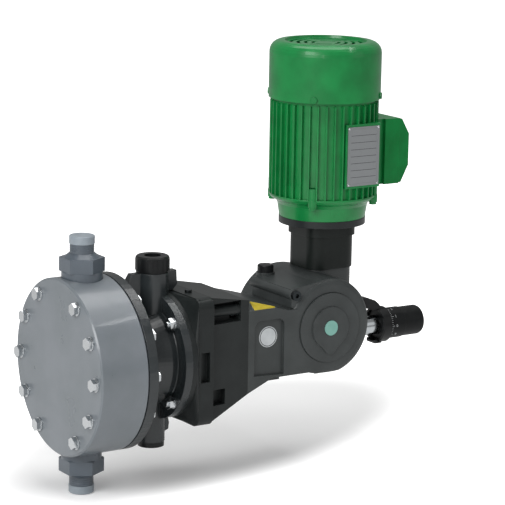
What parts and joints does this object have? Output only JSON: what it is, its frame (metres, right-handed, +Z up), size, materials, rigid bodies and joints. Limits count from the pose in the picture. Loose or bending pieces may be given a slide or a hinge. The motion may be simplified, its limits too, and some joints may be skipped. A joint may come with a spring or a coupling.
{
  "type": "dosing pump",
  "caption": "Motor-driven diaphragm dosing pump with a bolted plastic head, ball valves, a spring-return eccentric drive and a micrometer stroke knob.",
  "frame": {"origin": "on the underside of the feet, straight below the eccentric shaft, in the middle plane of the plunger", "axes": "+X along the plunger from the pump head to the stroke knob, +Y to the far side, +Z up along the motor"},
  "size_m": [0.5212, 0.209, 0.5126],
  "materials": {
    "pvc_head": "machined grey PVC",
    "stainless": "stainless fasteners",
    "ptfe": "white PTFE",
    "port_cap": "translucent polyethylene",
    "body_plastic": "dark moulded body",
    "black_plastic": "black moulded plastic",
    "cast_housing": "painted casting, satin",
    "motor_enamel": "green enamel, gloss",
    "steel": "ground steel",
    "bright_stem": "bright plated steel",
    "bronze": "bronze",
    "packing": "packing",
    "lamination": "laminated steel",
    "copper_winding": "enamelled copper",
    "block_plastic": "moulded thermoset",
    "plate_metal": "satin aluminium",
    "teal_plug": "moulded plug"
  },
  "bodies": {
    "housing": {"pump_head": "pvc_head", "head_bolts": "stainless", "head_nuts": "stainless", "diaphragm": "ptfe", "support_plate": "steel", "discharge_valve": "pvc_head", "discharge_seat": "ptfe", "suction_valve": "pvc_head", "suction_seat": "ptfe", "hydraulic_body": "body_plastic", "body_nuts": "stainless", "filler_cap": "black_plastic", "drain_plug": "black_plastic", "lantern": "cast_housing", "lantern_bolts": "stainless", "plunger_liner": "bronze", "packing_gland": "packing", "return_spring": "steel", "gearbox_housing": "cast_housing", "near_cover": "cast_housing", "bearing_plug": "teal_plug", "oil_plug": "black_plastic", "tie_bolt": "steel", "shaft_bearings": "steel", "worm_bearings": "steel", "motor_neck": "cast_housing", "adapter_plate": "cast_housing", "adapter_bolts": "stainless", "drive_shield": "motor_enamel", "motor_frame": "motor_enamel", "stator_core": "lamination", "windings": "copper_winding", "motor_bearings": "steel", "rear_shield": "motor_enamel", "fan_cover": "motor_enamel", "motor_screws": "stainless", "terminal_box": "motor_enamel", "terminal_lid": "motor_enamel", "terminal_block": "block_plastic", "cable_plug": "black_plastic", "nameplate": "plate_metal", "adjuster_stem": "bright_stem", "index_arm": "black_plastic"},
    "rotor": {"rotor_core": "lamination", "motor_shaft": "steel", "fan": "black_plastic", "coupling": "steel", "worm": "steel"},
    "eccentric": {"eccentric_shaft": "steel", "eccentric_cam": "steel", "worm_wheel": "bronze"},
    "plunger": {"plunger": "steel", "crosshead": "steel"},
    "stop_pin": {"stop_pin": "steel"},
    "knob": {"adjuster_screw": "steel", "knob": "black_plastic"},
    "suction_ball": {"suction_ball": "ptfe"},
    "discharge_ball": {"discharge_ball": "ptfe"},
    "suction_cap": {"suction_cap": "port_cap"},
    "discharge_cap": {"discharge_cap": "port_cap"}
  },
  "joints": [
    {"name": "rotor_spin", "type": "hinge", "parent": "housing", "child": "rotor", "pos_m": [0.036, 0.02, 0.25], "axis": [0, 0, 1], "continuous": true},
    {"name": "eccentric_spin", "type": "hinge", "parent": "housing", "child": "eccentric", "pos_m": [0, 0, 0.06], "axis": [0, 1, 0], "continuous": true},
    {"name": "plunger_stroke", "type": "slide", "parent": "housing", "child": "plunger", "axis": [1, 0, 0], "range_m": [0, 0.01], "deforming": ["return_spring"]},
    {"name": "adjuster_travel", "type": "slide", "parent": "housing", "child": "stop_pin", "axis": [1, 0, 0], "range_m": [-0.01, 0]},
    {"name": "knob_turn", "type": "hinge", "parent": "stop_pin", "child": "knob", "pos_m": [0.14, 0, 0.04], "axis": [1, 0, 0], "range_deg": [-3600, 0]},
    {"name": "suction_ball_lift", "type": "slide", "parent": "housing", "child": "suction_ball", "axis": [0, 0, 1], "range_m": [0, 0.003]},
    {"name": "discharge_ball_lift", "type": "slide", "parent": "housing", "child": "discharge_ball", "axis": [0, 0, 1], "range_m": [0, 0.003]},
    {"name": "suction_cap_pull", "type": "slide", "parent": "housing", "child": "suction_cap", "axis": [0, 0, -1], "range_m": [0, 0.06]},
    {"name": "discharge_cap_pull", "type": "slide", "parent": "housing", "child": "discharge_cap", "axis": [0, 0, 1], "range_m": [0, 0.06]}
  ],
  "couplings": [
    {"joint": "eccentric_spin", "follows": "rotor_spin", "ratio": 0.033333},
    {"joint": "knob_turn", "follows": "adjuster_travel", "rad_per_m": 6283.2}
  ]
}
